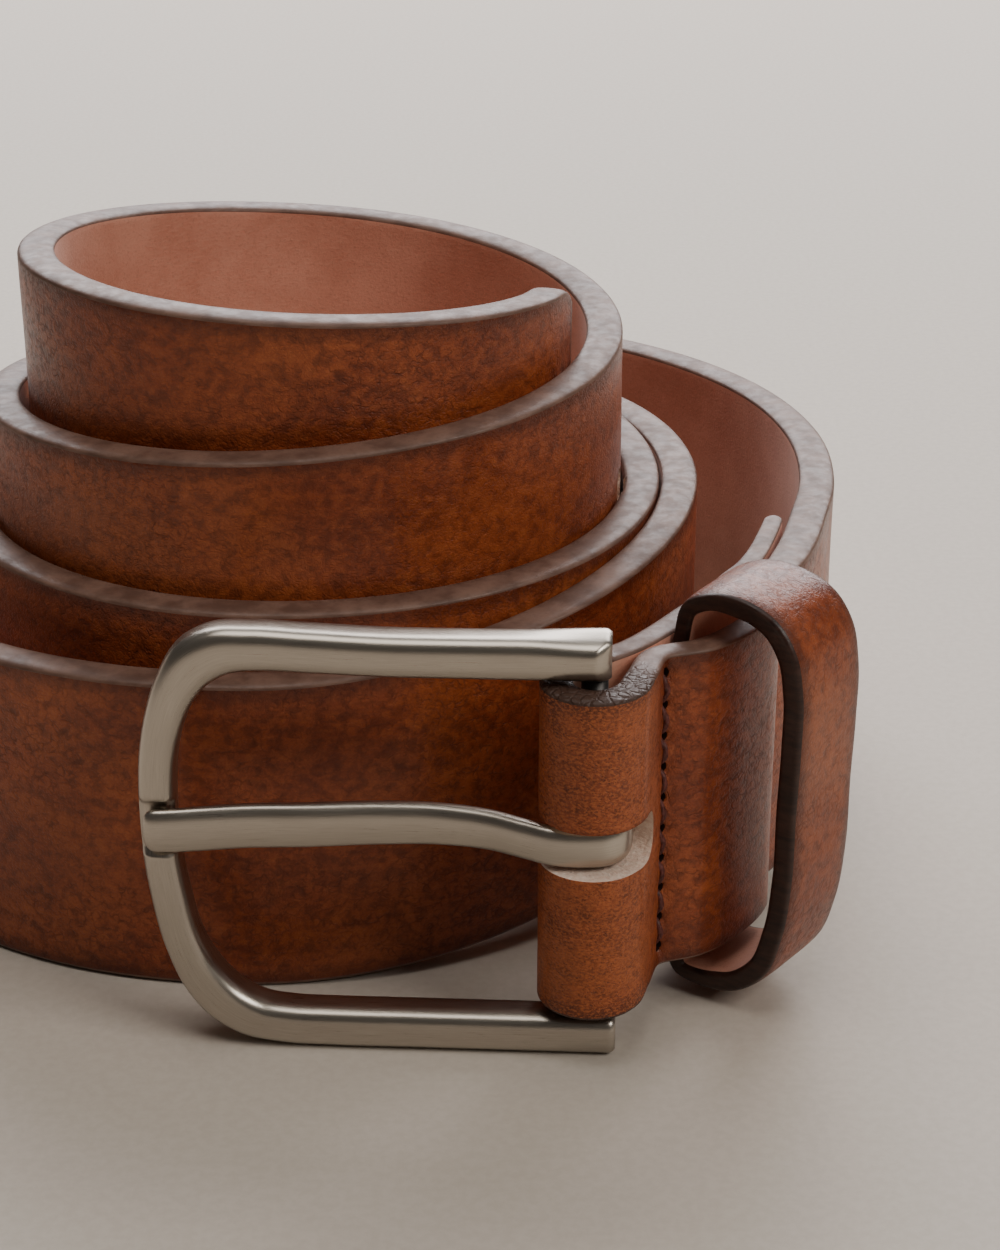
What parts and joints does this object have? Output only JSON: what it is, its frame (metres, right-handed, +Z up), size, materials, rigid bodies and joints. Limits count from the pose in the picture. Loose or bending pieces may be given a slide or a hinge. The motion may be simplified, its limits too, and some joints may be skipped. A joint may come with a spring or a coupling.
{
  "type": "leather belt",
  "caption": "Coiled dress belt: a leather strap on edge in rising turns, with a sewn keeper, an open-ended frame buckle, heel bar and prong.",
  "frame": {"origin": "centre of the belt's footprint on the surface that it stands on", "axes": "+Z up, along the strap's width and the buckle's heel bar; +X to the right and +Y away from the side that shows the buckle's face"},
  "size_m": [0.1168, 0.1313, 0.0688],
  "materials": {
    "strap_leather": "waxed cognac grain, grey-taupe painted edges, tan flesh side",
    "keeper_leather": "waxed cognac grain, dark brown edges",
    "thread": "waxed dark brown thread",
    "nickel": "satin-brushed nickel plate",
    "steel": "drawn steel"
  },
  "bodies": {
    "belt": {"strap": "strap_leather", "keeper": "keeper_leather", "keeper_staple": "steel", "front_row_needle_thread": "thread", "front_row_bobbin_thread": "thread", "rear_row_needle_thread": "thread", "rear_row_bobbin_thread": "thread"},
    "buckle": {"buckle_frame": "nickel", "heel_bar": "steel"},
    "prong": {"prong": "nickel"}
  },
  "joints": [
    {"name": "buckle_swing", "type": "hinge", "parent": "belt", "child": "buckle", "pos_m": [0.02871, -0.06035, 0.0232], "axis": [0, 0, 1], "range_deg": [-6, 70]},
    {"name": "prong_swing", "type": "hinge", "parent": "buckle", "child": "prong", "pos_m": [0.02871, -0.06035, 0.0238], "axis": [0, 0, 1], "range_deg": [0, 80]}
  ]
}
